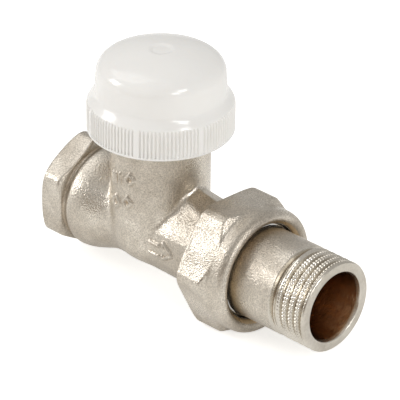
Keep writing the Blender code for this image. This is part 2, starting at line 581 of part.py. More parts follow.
def make_cap():
    """The white shield cap: screwed skirt, ogee, domed crown, and inside it the gasket in its cup."""
    ogee = [
        (ogee_bottom + CAP_OGEE * t,
         cap_skirt_r - (cap_skirt_r - cap_crown_r) * (0.5 - 0.5 * math.cos(math.pi * t)))
        for t in (k / 6 for k in range(7))
    ]
    steps = 6
    shoulder = [
        (cap_round_z + CAP_ROUND * math.sin(a), cap_round_r + CAP_ROUND * math.cos(a))
        for a in ((math.pi / 2 - dome_edge) * k / steps for k in range(steps + 1))
    ]
    dome = [
        (dome_centre_z + CAP_DOME_R * math.cos(a), CAP_DOME_R * math.sin(a))
        for a in (dome_edge * (1 - k / steps) for k in range(1, steps + 1))
    ]
    underside_r = CAP_DOME_R - CAP_ROOF
    underside = [
        (dome_centre_z + math.sqrt(underside_r**2 - r**2), r)
        for r in (gasket_r + RUNNING_GAP + GASKET_CUP_WALL, cap_round_r)
    ]
    cup_r = gasket_r + RUNNING_GAP
    turned("shield_cap", [
        (cap_bottom, cap_thread_r), (cap_bottom, cap_skirt_r - EDGE_BREAK),
        (cap_bottom + EDGE_BREAK, cap_skirt_r),
        *ogee, *shoulder, *dome, (cap_ceiling, 0),
        (cap_ceiling, cup_r), (cap_ceiling - GASKET_CUP, cup_r),
        (cap_ceiling - GASKET_CUP, cup_r + GASKET_CUP_WALL),
        *underside, (cap_round_z, cap_crown_bore_r), (crown_base, cap_crown_bore_r),
        (collar_top + GAP, cap_thread_r),
    ], "Z", INLET_TO_NECK, finish=white_plastic)
    turned("cap_gasket", [
        (gasket_top - GASKET, GASKET_HOLE_R), (gasket_top - GASKET, gasket_r),
        (gasket_top, gasket_r), (gasket_top, GASKET_HOLE_R),
    ], "Z", INLET_TO_NECK, SMALL_SIDES, black_rubber)


def make_union_nut():
    """The union nut: a turned-down hexagon that runs into a round collar with an inward lip."""
    hex_end = nut_start + NUT_HEX_LENGTH
    cone_end = hex_end + NUT_CONE_LENGTH
    rim_r = nut_corner_r - NUT_BACK_CHAMFER * math.sqrt(3)
    collar = [
        (nut_end - NUT_COLLAR_ROUND * (1 - math.sin(a)), nut_collar_r - NUT_COLLAR_ROUND * (1 - math.cos(a)))
        for a in (math.pi / 2 * k / 7 for k in range(8))
    ]
    nut = turned("union_nut", [
        (nut_start + NUT_BACK_CHAMFER, 0), (nut_start + NUT_BACK_CHAMFER, nut_bore_r - GAP),
        (hex_end, nut_collar_r - NUT_COLLAR_ROUND / 2), (cone_end, nut_collar_r), *collar, (nut_end, 0),
    ], "X", finish=blasted_nickel)
    bar = prism("nut_hexagon", hexagon(2 * nut_flat_r, NUT_TURN), nut_start - GAP, nut_end, "X")
    combine(bar, turned("nut_hexagon_blank", [
        (nut_start, 0), (nut_start, rim_r), (nut_start + NUT_BACK_CHAMFER, nut_corner_r),
        (hex_end, nut_corner_r), (cone_end, nut_collar_r - GAP), (cone_end, 0),
    ], "X"), "INTERSECT")
    combine(nut, bar, "UNION")
    combine(nut, turned("nut_bore", [
        (nut_start - GAP, 0), (nut_start - GAP, nut_bore_r),
        (lip_start, nut_bore_r), (lip_start, nut_hole_r),
        (nut_end - NUT_HOLE_FLARE, nut_hole_r), (nut_end + GAP, nut_hole_r + NUT_HOLE_FLARE + GAP),
        (nut_end + GAP, 0),
    ], "X"), "DIFFERENCE")


def make_tailpiece():
    """The tail: sealing nose and flange, groove for the snap ring, plain tube, G 1/2 thread, end ring."""
    nose_start = flange_start - TAIL_NOSE
    groove_half = SNAP_WIRE_R + RUNNING_GAP
    groove_r = TAIL_R - SNAP_GROOVE_DEPTH
    thread_start = tail_end - TAIL_THREAD_LENGTH
    root_r = TAIL_R - THREAD_DEPTH
    outline = [
        (nose_start, tail_bore_r), (nose_start, tail_nose_r - TAIL_NOSE_CHAMFER),
        (nose_start + TAIL_NOSE_CHAMFER, tail_nose_r),
        (flange_start, tail_nose_r), (flange_start, tail_flange_r - EDGE_BREAK),
        (flange_start + EDGE_BREAK, tail_flange_r), (flange_end, tail_flange_r), (flange_end, groove_r),
        (snap_x + groove_half, groove_r), (snap_x + groove_half, TAIL_R),
        (thread_start, TAIL_R), (thread_start + THREAD_DEPTH / 2, root_r),
        (thread_start + TAIL_UNDERCUT, root_r),
    ]
    for turn in range(THREAD_TURNS):
        foot = thread_start + TAIL_UNDERCUT + turn * THREAD_PITCH
        outline += [
            (foot + THREAD_PITCH * (1 - THREAD_CREST) / 2, TAIL_R),
            (foot + THREAD_PITCH * (1 + THREAD_CREST) / 2, TAIL_R),
            (foot + THREAD_PITCH, root_r),
        ]
    last = thread_start + TAIL_UNDERCUT + THREAD_TURNS * THREAD_PITCH
    outline += [
        (last + THREAD_PITCH * (1 - THREAD_CREST) / 2, TAIL_R), (tail_end - TAIL_END_CHAMFER / 2, TAIL_R),
        (tail_end, TAIL_R - TAIL_END_CHAMFER), (tail_end, tail_bore_r + TAIL_BORE_CHAMFER),
        (tail_end - TAIL_BORE_CHAMFER, tail_bore_r),
    ]
    turned("tailpiece", outline, "X", finish=blasted_nickel)
    ring("snap_ring", SNAP_WIRE_R, snap_ring_r, snap_x, "X", 0, stainless)
    seal_x = spigot_end - SEAL_RECESS_DEPTH / 2 + GAP / 2
    ring("tail_o_ring", TAIL_SEAL_WIRE_R, (tail_nose_r + seal_recess_r) / 2, seal_x, "X", 0, black_rubber)


make_valve_body()
make_bonnet()
make_spindle()
make_headwork_rings()
make_plug()
make_cap()
make_union_nut()
make_tailpiece()
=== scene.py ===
"""Looks of the straight DN 15 lockshield valve: nickel-plated forged body, union nut and tailpiece,
brass headwork and a white shield cap. The origin is the centre of the inlet socket's mouth, +X runs
along the pipe axis to the tail and +Z up the neck. Lengths are in metres, written as so many mm."""
import math

import bmesh
import bpy
import numpy as np
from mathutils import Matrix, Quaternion, Vector


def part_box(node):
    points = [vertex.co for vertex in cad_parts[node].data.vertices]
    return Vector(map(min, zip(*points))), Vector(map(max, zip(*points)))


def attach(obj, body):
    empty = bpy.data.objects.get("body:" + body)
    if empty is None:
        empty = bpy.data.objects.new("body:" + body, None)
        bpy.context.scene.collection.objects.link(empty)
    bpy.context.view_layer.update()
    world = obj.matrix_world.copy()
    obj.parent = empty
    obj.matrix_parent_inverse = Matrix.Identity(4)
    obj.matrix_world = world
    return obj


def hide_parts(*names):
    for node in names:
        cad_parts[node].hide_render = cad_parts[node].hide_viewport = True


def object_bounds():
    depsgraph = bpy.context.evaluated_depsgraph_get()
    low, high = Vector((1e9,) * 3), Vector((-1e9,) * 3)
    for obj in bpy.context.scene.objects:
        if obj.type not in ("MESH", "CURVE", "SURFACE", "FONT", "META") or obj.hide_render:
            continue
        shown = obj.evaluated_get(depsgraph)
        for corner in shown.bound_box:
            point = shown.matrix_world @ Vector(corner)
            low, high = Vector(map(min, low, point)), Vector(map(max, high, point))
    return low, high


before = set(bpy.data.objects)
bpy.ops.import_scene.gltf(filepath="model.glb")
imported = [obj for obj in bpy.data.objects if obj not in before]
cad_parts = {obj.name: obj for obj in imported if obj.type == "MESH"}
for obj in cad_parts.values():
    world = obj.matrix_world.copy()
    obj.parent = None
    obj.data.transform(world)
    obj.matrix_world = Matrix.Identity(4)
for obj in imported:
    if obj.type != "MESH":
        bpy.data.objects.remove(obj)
cad_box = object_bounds()

# --- Studio -------------------------------------------------------------------------------------
# A white bench in a pale room, lit by a soft key at the inlet's side, two smaller lights at the
# outlet's side and a large one overhead. A dim warm card in front shows only in reflections.
mm = 0.001
CAMERA_TURN = math.radians(46.43)      # from the pipe axis towards the near side
CAMERA_RISE = math.radians(29.24)
CAMERA_TILT = math.radians(0.66)
CAMERA_DISTANCE = 679.5 * mm
CAMERA_LENS = 276.6
AIM_PAST_NECK = 12.2 * mm
AIM_HEIGHT = 10.4 * mm
BENCH_GAP = 0.1 * mm                   # keeps the bench clear of the body's lowest point

neck_x = sum(corner.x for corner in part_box("bonnet")) / 2
away = Vector((
    math.cos(CAMERA_RISE) * math.cos(CAMERA_TURN), -math.cos(CAMERA_RISE) * math.sin(CAMERA_TURN),
    math.sin(CAMERA_RISE),
))
middle = Vector((neck_x + AIM_PAST_NECK, 0, AIM_HEIGHT))
camera = bpy.data.objects.new("camera", bpy.data.cameras.new("camera"))
camera.data.lens = CAMERA_LENS
camera.data.clip_start = 10 * mm
camera.location = middle + CAMERA_DISTANCE * away
camera.rotation_mode = "QUATERNION"
camera.rotation_quaternion = away.to_track_quat("Z", "Y") @ Quaternion((0, 0, 1), CAMERA_TILT)
bpy.context.scene.collection.objects.link(camera)
bpy.context.scene.camera = camera
bpy.context.scene.view_settings.view_transform = "Standard"


def card(name, colour, width, depth, centre, facing, glow=0.0, seen_glow=0.0):
    """A flat studio surface that faces a point. It glows by glow, and by seen_glow more where the
    camera looks straight at it."""
    mesh = bpy.data.meshes.new(name)
    x, y = width / 2, depth / 2
    mesh.from_pydata([(-x, -y, 0), (x, -y, 0), (x, y, 0), (-x, y, 0)], [], [(0, 1, 2, 3)])
    material = bpy.data.materials.new(name)
    material.use_nodes = True
    shader = material.node_tree.nodes["Principled BSDF"]
    shader.inputs["Base Color"].default_value = (*colour, 1)
    shader.inputs["Roughness"].default_value = 0.9
    shader.inputs["Emission Color"].default_value = (*colour, 1)
    path = material.node_tree.nodes.new("ShaderNodeLightPath")
    strength = material.node_tree.nodes.new("ShaderNodeMath")
    strength.operation = "MULTIPLY_ADD"
    strength.inputs[1].default_value, strength.inputs[2].default_value = seen_glow, glow
    material.node_tree.links.new(path.outputs["Is Camera Ray"], strength.inputs[0])
    material.node_tree.links.new(strength.outputs[0], shader.inputs["Emission Strength"])
    mesh.materials.append(material)
    surface = bpy.data.objects.new(name, mesh)
    surface.location = centre
    surface.rotation_mode = "QUATERNION"
    surface.rotation_quaternion = (Vector(facing) - Vector(centre)).to_track_quat("Z", "Y")
    bpy.context.scene.collection.objects.link(surface)
    return surface


bench_top = cad_box[0].z - BENCH_GAP
card("bench", (0.93, 0.93, 0.92), 6, 6, (middle.x, 0, bench_top), (middle.x, 0, 1), 0.16, 0.5)
card_place = middle + Vector((0.05, -0.22, -0.005))
warm_card = card("warm card", (0.38, 0.31, 0.24), 0.28, 0.15, card_place, middle)
warm_card.visible_camera = False

for name, place, size, power in (        # metres from the middle, metres, watts
    ("key", (-0.56, -0.50, 0.34), 0.30, 1.8),
    ("strip", (0.62, -0.06, 0.46), 0.18, 1.0),
    ("front", (0.72, -0.26, 0.36), 0.16, 0.9),
    ("top", (-0.40, -0.06, 0.62), 0.45, 0.85),
):
    light = bpy.data.lights.new(name, "AREA")
    light.shape = "SQUARE"
    light.size = size
    light.energy = power
    lamp = bpy.data.objects.new(name, light)
    lamp.location = middle + Vector(place)
    lamp.rotation_mode = "QUATERNION"
    lamp.rotation_quaternion = Vector(place).to_track_quat("Z", "Y")
    bpy.context.scene.collection.objects.link(lamp)

world = bpy.data.worlds.new("pale room")
bpy.context.scene.world = world
world.use_nodes = True
world.node_tree.nodes["Background"].inputs["Color"].default_value = (1.0, 0.985, 0.96, 1)
world.node_tree.nodes["Background"].inputs["Strength"].default_value = 0.52

# --- Valve body ---------------------------------------------------------------------------------
# One brass forging: inlet hexagon, beaded shoulder, waist, neck with its rounded foot, roofed rib
# and threaded spigot. It is shot-blasted, drilled, threaded and then nickel-plated all over.
body_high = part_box("valve_body")[1]
spigot_end = body_high.x
spigot_r = body_high.y
neck_top = body_high.z
neck_r = 11.2 * mm
neck_foot = 8.9 * mm
neck_band = 0.2 * mm
inlet_flat_r = 12.0 * mm
inlet_corner_r = 13.42 * mm
inlet_length = 6.3 * mm
inlet_chamfer = 1.4 * mm
groove_end = 7.2 * mm
groove_r = 11.2 * mm
bead_r = 12.1 * mm
bead_end = 8.7 * mm
waist_r = 9.6 * mm
shoulder_length = 11 * mm
boss_draft = 0.017                      # widening of the boss towards the nut
spigot_length = 7.9 * mm
spigot_ridge = 0.55 * mm                # half the depth of its thread
spigot_chamfer = 0.9 * mm
thread_pitch = 1.814 * mm
rib_top = 13.2 * mm
rib_fall = 0.2                          # of the ridge towards the nut
rib_roof_slope = 0.47
rib_eave_half = 3.4 * mm
rib_eave_z = 11.6 * mm
rib_wall_slope = 0.68
socket_r = 9.9 * mm
socket_depth = 12 * mm
socket_ridge = 0.5 * mm
socket_chamfer = 0.9 * mm
passage_r = 4.6 * mm                    # from the socket into the pocket under the seat
passage_z = -3.0 * mm
pocket_r = 5.4 * mm
seat_hole_r = 4.8 * mm
seat_rim_r = 6.0 * mm
seat_rim_height = 0.6 * mm
seat_z = 4.0 * mm
chamber_r = 8.0 * mm
neck_bore_r = 9.5 * mm
neck_bore_floor = 13.7 * mm
window_r = 5.0 * mm                     # from the chamber down into the outlet bore
outlet_bore_r = 7.2 * mm
seal_recess_r = 10.6 * mm
seal_recess_depth = 2 * mm
mark_height = 0.45 * mm
arrow_half_width = 0.30                 # of a raised line, in mm, as are all places of the marks
sign_half_width = 0.38


def join(a, b, fillet):
    """Distance to two shapes joined, with the corner between them filled to about this radius."""
    near = np.maximum(fillet - np.abs(a - b), 0)
    return np.minimum(a, b) - near * near / (4 * fillet)


def crop(a, b, edge):
    """Distance to what two shapes share, with its new edge rounded."""
    return -join(-a, -b, edge)


def hexagon(turn, r, flat_r, corner_r, first_corner, edge):
    """Distance to a hexagonal bar about the pipe axis, its corners cut to narrow flats."""
    sixth = math.pi / 3
    corner = (turn - first_corner + sixth / 2) % sixth - sixth / 2
    flat = (turn - first_corner) % sixth - sixth / 2
    return crop(r * np.cos(flat) - flat_r, r * np.cos(corner) - corner_r, edge)


def ridge(along, turn, depth):
    """Height of a right-hand pipe thread over its mean radius."""
    return depth * (2 * np.abs((along / thread_pitch - turn / (2 * math.pi)) % 1 * 2 - 1) - 1)


def rod(r, radius, along, start, end):
    """Distance to a straight round bar or bore."""
    return np.maximum(r - radius, np.maximum(start - along, along - end))


def stroke(u, v, start, end, half_width):
    """1 on a raised line of this width between two points, 0 off it."""
    (a, b), (c, d) = start, end
    share = np.clip(((u - a) * (c - a) + (v - b) * (d - b)) / ((c - a) ** 2 + (d - b) ** 2), 0, 1)
    off = np.hypot(u - a - share * (c - a), v - b - share * (d - b))
    return np.clip(1.5 - off / half_width, 0, 1)


def forging_marks(x, z):
    """1 on the lines of the flow arrow on the boss and of the bars and lozenges on the neck."""
    u, v = (x - neck_x) / mm, z / mm
    arrow = [
        ((6.2, 1.5), (8.9, 1.4)), ((6.2, -1.3), (8.9, -1.2)), ((10.1, 2.6), (13.2, 0.4)),
        ((10.1, -1.6), (13.2, 0.4)), ((10.1, 2.6), (10.1, 1.7)), ((10.1, -0.7), (10.1, -1.6)),
    ]
    signs = []
    upper, lower = 15.2, 9.5            # heights of the two rows, which climb a little along +X
    for at in (-4.4, -3.1, -1.8):
        signs.append(((at, upper + 0.27 * at - 1.2), (at, upper + 0.27 * at + 1.2)))
    for at, row, half in ((1.4, upper, 1.3), (-3.2, lower, 1.5), (0.6, lower, 1.3)):
        tips = ((1, 0), (0, 1), (-1, 0), (0, -1))
        turns = [(at + half * a, row + 0.3 * at + half * b) for a, b in tips]
        signs += zip(turns, turns[1:] + turns[:1])
    raised = 0 * u * v
    for lines, half_width in ((arrow, arrow_half_width), (signs, sign_half_width)):
        for start, end in lines:
            raised = np.maximum(raised, stroke(u, v, start, end, half_width))
    return raised


def forging(x, y, z):
    """Signed distance to the body's skin: negative inside the brass."""
    r, turn = np.hypot(y, z), np.arctan2(z, y)
    from_neck = np.hypot(x - neck_x, y)
    near_side = np.clip(0.5 - y / mm, 0, 1)
    raised = mark_height * forging_marks(x, z) * near_side

    inlet = hexagon(turn, r, inlet_flat_r, inlet_corner_r, math.pi / 2, 0.5 * mm)
    for face in (-x, x - inlet_length):
        inlet = crop(inlet, face, 0.35 * mm)
        cone = (r - inlet_corner_r + inlet_chamfer + math.sqrt(3) * face) / 2
        inlet = crop(inlet, cone, 0.35 * mm)
    solid = join(inlet, rod(r, groove_r, x, inlet_length - mm, groove_end + mm), 0.3 * mm)

    fall = np.clip((x - bead_end) / shoulder_length, 0, 1)
    run_r = waist_r + (bead_r - waist_r) * (0.5 + 0.5 * np.cos(math.pi * fall))
    run_r = run_r + boss_draft * np.maximum(x - neck_x, 0)
    run = crop(r - run_r - raised, groove_end - x, 1.9 * mm)
    run = crop(run, x - spigot_end + spigot_length, 0.2 * mm)
    solid = join(solid, run, 0.5 * mm)

    round_foot = neck_r * (np.sqrt((from_neck / neck_r) ** 2 + (z / neck_foot) ** 2) - 1)
    neck = np.where(z < 0, round_foot, from_neck - neck_r) - raised
    neck = neck - neck_band * np.clip((z - neck_top + 1.7 * mm) / (0.2 * mm), 0, 1)
    neck = crop(neck, z - neck_top, 0.3 * mm)
    solid = join(solid, neck, 0.8 * mm)

    side = np.abs(y)
    ridge_z = rib_top - rib_fall * (x - neck_x - neck_r)
    roof = (z - ridge_z + rib_roof_slope * side) / math.hypot(1, rib_roof_slope)
    wall = side - rib_eave_half + (z - rib_eave_z) * rib_wall_slope
    wall = wall / math.hypot(1, rib_wall_slope)
    rib = crop(crop(roof, wall, 0.45 * mm), np.abs(x - neck_x - neck_r) - 2 * neck_r, 0.1 * mm)
    rib = crop(rib, x - spigot_end + spigot_length - 0.2 * mm, 0.1 * mm)
    rib = np.maximum(rib, 4 * mm - z)
    rib = np.maximum(rib, neck_x + chamber_r - x)
    solid = join(solid, rib, 1.0 * mm)

    spigot = r - spigot_r + spigot_ridge - ridge(x, turn, spigot_ridge)
    spigot = crop(spigot, spigot_end - spigot_length - x, 0.3 * mm)
    spigot = crop(spigot, x - spigot_end, 0.3 * mm)
    cone = (r - spigot_r + x - spigot_end + spigot_chamfer) / math.sqrt(2)
    spigot = crop(spigot, cone, 0.3 * mm)
    solid = join(solid, spigot, 0.2 * mm)

    for bore in bores(x, y, z, r, turn, from_neck):
        solid = crop(solid, -bore, 0.3 * mm)
    return solid


def bores(x, y, z, r, turn, from_neck):
    """Distances to everything that is drilled or turned out of the forging."""
    socket = rod(r, socket_r - ridge(x, turn, socket_ridge), x, -mm, socket_depth)
    socket_mouth = (r - socket_r - socket_chamfer + x) / math.sqrt(2)
    yield np.minimum(socket, np.maximum(socket_mouth, x - 2 * mm))
    yield rod(np.hypot(y, z - passage_z), passage_r, x, socket_depth - mm, neck_x)
    yield rod(from_neck, pocket_r, z, passage_z - passage_r, seat_z - 1.6 * mm)
    yield rod(from_neck, seat_hole_r, z, 0, seat_z + mm)
    seat_rim = rod(from_neck, seat_rim_r, z, 0, seat_z + seat_rim_height)
    yield np.maximum(rod(from_neck, chamber_r, z, seat_z, neck_top), -seat_rim)
    yield rod(from_neck, neck_bore_r, z, neck_bore_floor, neck_top + mm)
    outlet_start = neck_x + pocket_r + 1.5 * mm
    yield rod(r, outlet_bore_r, x, outlet_start, spigot_end + mm)
    yield rod(r, seal_recess_r, x, spigot_end - seal_recess_depth, spigot_end + mm)
    yield rod(np.hypot(x - outlet_start, y), window_r, z, seat_z + 0.2 * mm, seat_z + 3 * mm)


def skin(name, distance, low, high, step):
    """The closed surface where distance(x, y, z) is zero. A grid finds it, with one vertex in each
    cell that it passes through, and each vertex is then moved onto it along the slope."""
    lines = [np.arange(a - 1.5 * step, b + 2.5 * step, step) for a, b in zip(low, high)]
    value = distance(*np.meshgrid(*lines, indexing="ij", sparse=True))
    cells = tuple(n - 1 for n in value.shape)
    place, count = np.zeros((*cells, 3)), np.zeros(cells)
    offsets = [(i, j, k) for i in (0, 1) for j in (0, 1) for k in (0, 1)]

    def corner(offset):
        return value[tuple(slice(o, o + n) for o, n in zip(offset, cells))]

    for start in offsets:
        for axis in range(3):
            if start[axis]:
                continue
            end = tuple(o + (i == axis) for i, o in enumerate(start))
            a, b = corner(start), corner(end)
            crossed = (a < 0) != (b < 0)
            share = np.where(crossed, a / np.where(crossed, a - b, 1), 0)
            for i in range(3):
                place[..., i] += crossed * start[i] + (share if i == axis else 0)
            count += crossed
    used = count > 0
    index = np.full(cells, -1)
    index[used] = np.arange(used.sum())
    points = (np.argwhere(used) + place[used] / count[used][:, None]) * step
    points += [line[0] for line in lines]

    faces = []
    for axis in range(3):
        u, v = (axis + 1) % 3, (axis + 2) % 3
        ahead = np.roll(value, -1, axis)
        crossed = (value < 0) != (ahead < 0)
        crossed[tuple(slice(-1, None) if i == axis else slice(None) for i in range(3))] = False
        at = np.argwhere(crossed)
        back_u, back_v = np.eye(3, dtype=int)[u], np.eye(3, dtype=int)[v]
        quad = np.stack([
            index[tuple((at - shift).T)] for shift in (0 * back_u, back_u, back_u + back_v, back_v)
        ], axis=1)
        back_to_front = value[tuple(at.T)] > 0
        quad[back_to_front] = quad[back_to_front][:, ::-1]
        faces.append(quad)

    probe = step / 50
    for _ in range(3):
        here = distance(*points.T)
        slope = np.stack([
            (distance(*(points + probe * np.eye(3)[i]).T) - here) / probe for i in range(3)
        ], axis=1)
        move = here[:, None] * slope / np.maximum((slope ** 2).sum(1, keepdims=True), 0.25)
        points -= np.clip(move, -step / 2, step / 2)
    mesh = bpy.data.meshes.new(name)
    mesh.from_pydata(points.tolist(), [], np.concatenate(faces).tolist())
    mesh.shade_smooth()
    piece = bpy.data.objects.new(name, mesh)
    bpy.context.scene.collection.objects.link(piece)
    return piece


def node_group(name, inputs, outputs):
    """An empty shader group with inputs (name, value) and named outputs, and its two ends."""
    group = bpy.data.node_groups.new(name, "ShaderNodeTree")
    for label, value in inputs:
        given = group.interface.new_socket(label, in_out="INPUT", socket_type="NodeSocketFloat")
        given.default_value = value
    for label in outputs:
        group.interface.new_socket(label, in_out="OUTPUT", socket_type="NodeSocketFloat")
    return group, group.nodes.new("NodeGroupInput"), group.nodes.new("NodeGroupOutput")


def add_node(tree, kind, inputs=(), **settings):
    """A node with its settings, its inputs given as values or as sockets to link from."""
    node = tree.nodes.new("ShaderNode" + kind)
    for key, value in settings.items():
        setattr(node, key, value)
    for key, value in dict(inputs).items():
        if isinstance(value, bpy.types.NodeSocket):
            tree.links.new(value, node.inputs[key])
        else:
            node.inputs[key].default_value = value
    return node


def blasted_grain():
    """Fine rounded dimples of a shot-blasted skin, and a slow change of tone over the metal."""
    group, given, result = node_group(
        "blasted_grain", [("Dimple Scale", 3600), ("Patch Scale", 90)], ["Height", "Tone"])
    at = add_node(group, "TexCoord").outputs["Object"]
    dimples = add_node(group, "TexNoise", {
        "Vector": at, "Scale": given.outputs["Dimple Scale"], "Detail": 2.0, "Roughness": 0.55})
    pits = add_node(group, "TexVoronoi", {
        "Vector": at, "Scale": given.outputs["Dimple Scale"], "Randomness": 1.0,
    }, feature="SMOOTH_F1")
    height = add_node(group, "Math", {0: dimples.outputs["Fac"], 1: pits.outputs["Distance"]},
                      operation="ADD")
    patches = add_node(group, "TexNoise", {
        "Vector": at, "Scale": given.outputs["Patch Scale"], "Detail": 3.0, "Roughness": 0.6})
    group.links.new(height.outputs[0], result.inputs["Height"])
    group.links.new(patches.outputs["Fac"], result.inputs["Tone"])
    return group


def edge_wear_and_crease_shade():
    """1 on outward edges, where handling leaves the metal brighter, and in a second output 1 in
    tight creases, for painted shade.
    """
    group, given, result = node_group(
        "edge_wear_and_crease_shade", [("Start", 0.52), ("Full", 0.60)], ["Mask", "Painted_Shade"])
    sharp = add_node(group, "NewGeometry").outputs["Pointiness"]
    mask = add_node(group, "MapRange", {
        "Value": sharp, "From Min": given.outputs["Start"], "From Max": given.outputs["Full"]})
    group.links.new(mask.outputs["Result"], result.inputs["Mask"])
    # Painted shade: concave places get a mask that darkens the colour brown.
    crease_shade_mask = add_node(group, "MapRange", {"Value": sharp, "From Min": 0.485, "From Max": 0.43})
    group.links.new(crease_shade_mask.outputs["Result"], result.inputs["Painted_Shade"])
    return group


grain_group, wear_and_shade_group = blasted_grain(), edge_wear_and_crease_shade()


def metal(name, dull, bright, roughness, dimple_scale, dimple_depth, pit_tone=0.94, edges=0.5):
    """A plated or bare metal: patches of tone between two colours, brighter edges, and a grain
    whose pits are darker by pit_tone. Its tight creases are darkened brown as painted shade."""
    material = bpy.data.materials.new(name)
    material.use_nodes = True
    tree = material.node_tree
    shader = tree.nodes["Principled BSDF"]
    shader.inputs["Metallic"].default_value = 1.0
    grain = add_node(tree, "Group", node_tree=grain_group)
    grain.inputs["Dimple Scale"].default_value = dimple_scale
    wear_and_shade = add_node(tree, "Group", node_tree=wear_and_shade_group)
    tone = add_node(tree, "MapRange", {
        "Value": grain.outputs["Tone"], "From Min": 0.35, "From Max": 0.65})
    lit = add_node(tree, "Math", {0: wear_and_shade.outputs["Mask"], 1: edges, 2: tone.outputs["Result"]},
                   operation="MULTIPLY_ADD", use_clamp=True)
    colour = add_node(tree, "Mix", {
        "Factor": lit.outputs[0], 6: (*dull, 1), 7: (*bright, 1)}, data_type="RGBA")
    speck = add_node(tree, "MapRange", {
        "Value": grain.outputs["Height"], "From Min": 0.5, "From Max": 1.2,
        "To Min": pit_tone, "To Max": 2 - pit_tone})
    speckled = add_node(tree, "VectorMath", {0: colour.outputs[2], 1: speck.outputs["Result"]},
                        operation="MULTIPLY")
    # Painted shade: tight creases are darkened by multiplying in a brown.
    painted_crease_shade = add_node(tree, "Mix", {
        "Factor": wear_and_shade.outputs["Painted_Shade"], 6: speckled.outputs[0], 7: (0.62, 0.50, 0.36, 1),
    }, data_type="RGBA", blend_type="MULTIPLY")
    rough = add_node(tree, "MapRange", {
        "Value": lit.outputs[0], "To Min": roughness + 0.06, "To Max": roughness - 0.06})
    bump = add_node(tree, "Bump", {
        "Height": grain.outputs["Height"], "Strength": 1.0, "Distance": dimple_depth})
    tree.links.new(painted_crease_shade.outputs[2], shader.inputs["Base Color"])
    tree.links.new(rough.outputs["Result"], shader.inputs["Roughness"])
    tree.links.new(bump.outputs["Normal"], shader.inputs["Normal"])
    return material


blasted_nickel = metal(
    "blasted_nickel", (0.465, 0.415, 0.35), (0.645, 0.595, 0.52), 0.32, 3400, 0.075 * mm, 0.74)

reach = 14 * mm                         # a little more than the body's half width
valve_body = skin(
    "valve_body_forging", forging, (0, -reach, -reach), (spigot_end, reach, neck_top), 0.3 * mm)
valve_body.data.materials.append(blasted_nickel)
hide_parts("valve_body")
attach(valve_body, "valve")

# --- Union nut ----------------------------------------------------------------------------------
# A forged brass hexagon that runs through a cone into a round collar, with an inward lip that bears
# on the snap ring. It is blasted and plated like the body. The edge of its hole is given bare brass
# as a painted brown reflection of the brass inside it.
nut_low, nut_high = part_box("union_nut")
nut_flat_r = 14.25 * mm
nut_corner_r = 16.0 * mm
nut_turn = math.radians(-2.7)
nut_hex_end = nut_low.x + 6.9 * mm
nut_cone_slope = 1.15                   # of the cone that cuts the hexagon's corners
nut_end_chamfer = 0.8 * mm
nut_collar_r = 14.5 * mm
nut_thread_r = spigot_r + 0.05 * mm     # mean radius of its thread
nut_ridge = 0.3 * mm                    # its crests meet the spigot's, so the threads overlap
nut_hole_r = 10.9 * mm
nut_lip = 2.0 * mm
nut_flare = 1.9 * mm


def union_nut_distance(x, y, z):
    """Signed distance to the nut's skin."""
    r, turn = np.hypot(y, z), np.arctan2(z, y)
    bar = hexagon(turn, r, nut_flat_r, nut_corner_r, nut_turn, 0.3 * mm)
    bar = crop(bar, nut_low.x - x, 0.35 * mm)
    end_cone = (r - nut_corner_r + nut_end_chamfer + math.sqrt(3) * (nut_low.x - x)) / 2
    bar = crop(bar, end_cone, 0.4 * mm)
    front_cone = r - nut_corner_r + nut_cone_slope * (x - nut_hex_end)
    bar = crop(bar, front_cone / math.hypot(1, nut_cone_slope), 0.15 * mm)
    collar = crop(r - nut_collar_r, x - nut_high.x, 2.5 * mm)
    collar = crop(collar, nut_low.x + mm - x, 0.4 * mm)
    solid = join(bar, collar, 0.4 * mm)
    thread = r - nut_thread_r - ridge(x, turn, -nut_ridge)
    thread = np.maximum(thread, x - nut_high.x + nut_lip)
    solid = crop(solid, -thread, 0.25 * mm)
    solid = crop(solid, nut_hole_r - r, 0.4 * mm)
    flare = (nut_hole_r + nut_flare - r + x - nut_high.x) / math.sqrt(2)
    return crop(solid, flare, 0.6 * mm)


bare_brass = metal("bare_brass", (0.62, 0.48, 0.31), (0.80, 0.66, 0.46), 0.32, 1800, 0.01 * mm)
union_nut = skin("union_nut_forging", union_nut_distance, nut_low, nut_high, 0.25 * mm)
union_nut.data.materials.append(blasted_nickel)
union_nut.data.materials.append(bare_brass)
# Painted reflection: the hole's lip and flare take bare brass, for the brass that they reflect.
for face in union_nut.data.polygons:
    if math.hypot(face.center.y, face.center.z) < nut_hole_r + 0.6 * nut_flare:
        face.material_index = 1
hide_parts("union_nut")
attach(union_nut, "union_nut")

# --- Tailpiece ----------------------------------------------------------------------------------
# A brass tube with a sealing nose and a flange inside the nut, and a G 1/2 thread cut at its free
# end. The tube is blasted and plated, the thread and end ring are turned, and the bore is bare.
tail_low, tail_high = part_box("tailpiece")
tail_r = 10.4775 * mm
tail_flange_r = tail_high.y
tail_nose_r = 8.9 * mm
tail_neck_r = tail_r - 0.5 * mm
tail_neck_end = tail_low.x + 4.9 * mm
tail_bore_r = 7.82 * mm
tail_root_r = tail_r - 1.05 * mm
tail_thread_start = tail_high.x - 10.1 * mm
tail_root_start = tail_thread_start + 0.5 * mm
tail_ring_start = tail_high.x - 0.7 * mm
tail_ring_round = 0.55 * mm
tail_notches = 76
tail_notch_depth = 0.17 * mm
tail_thread_lead = 0.35 * mm


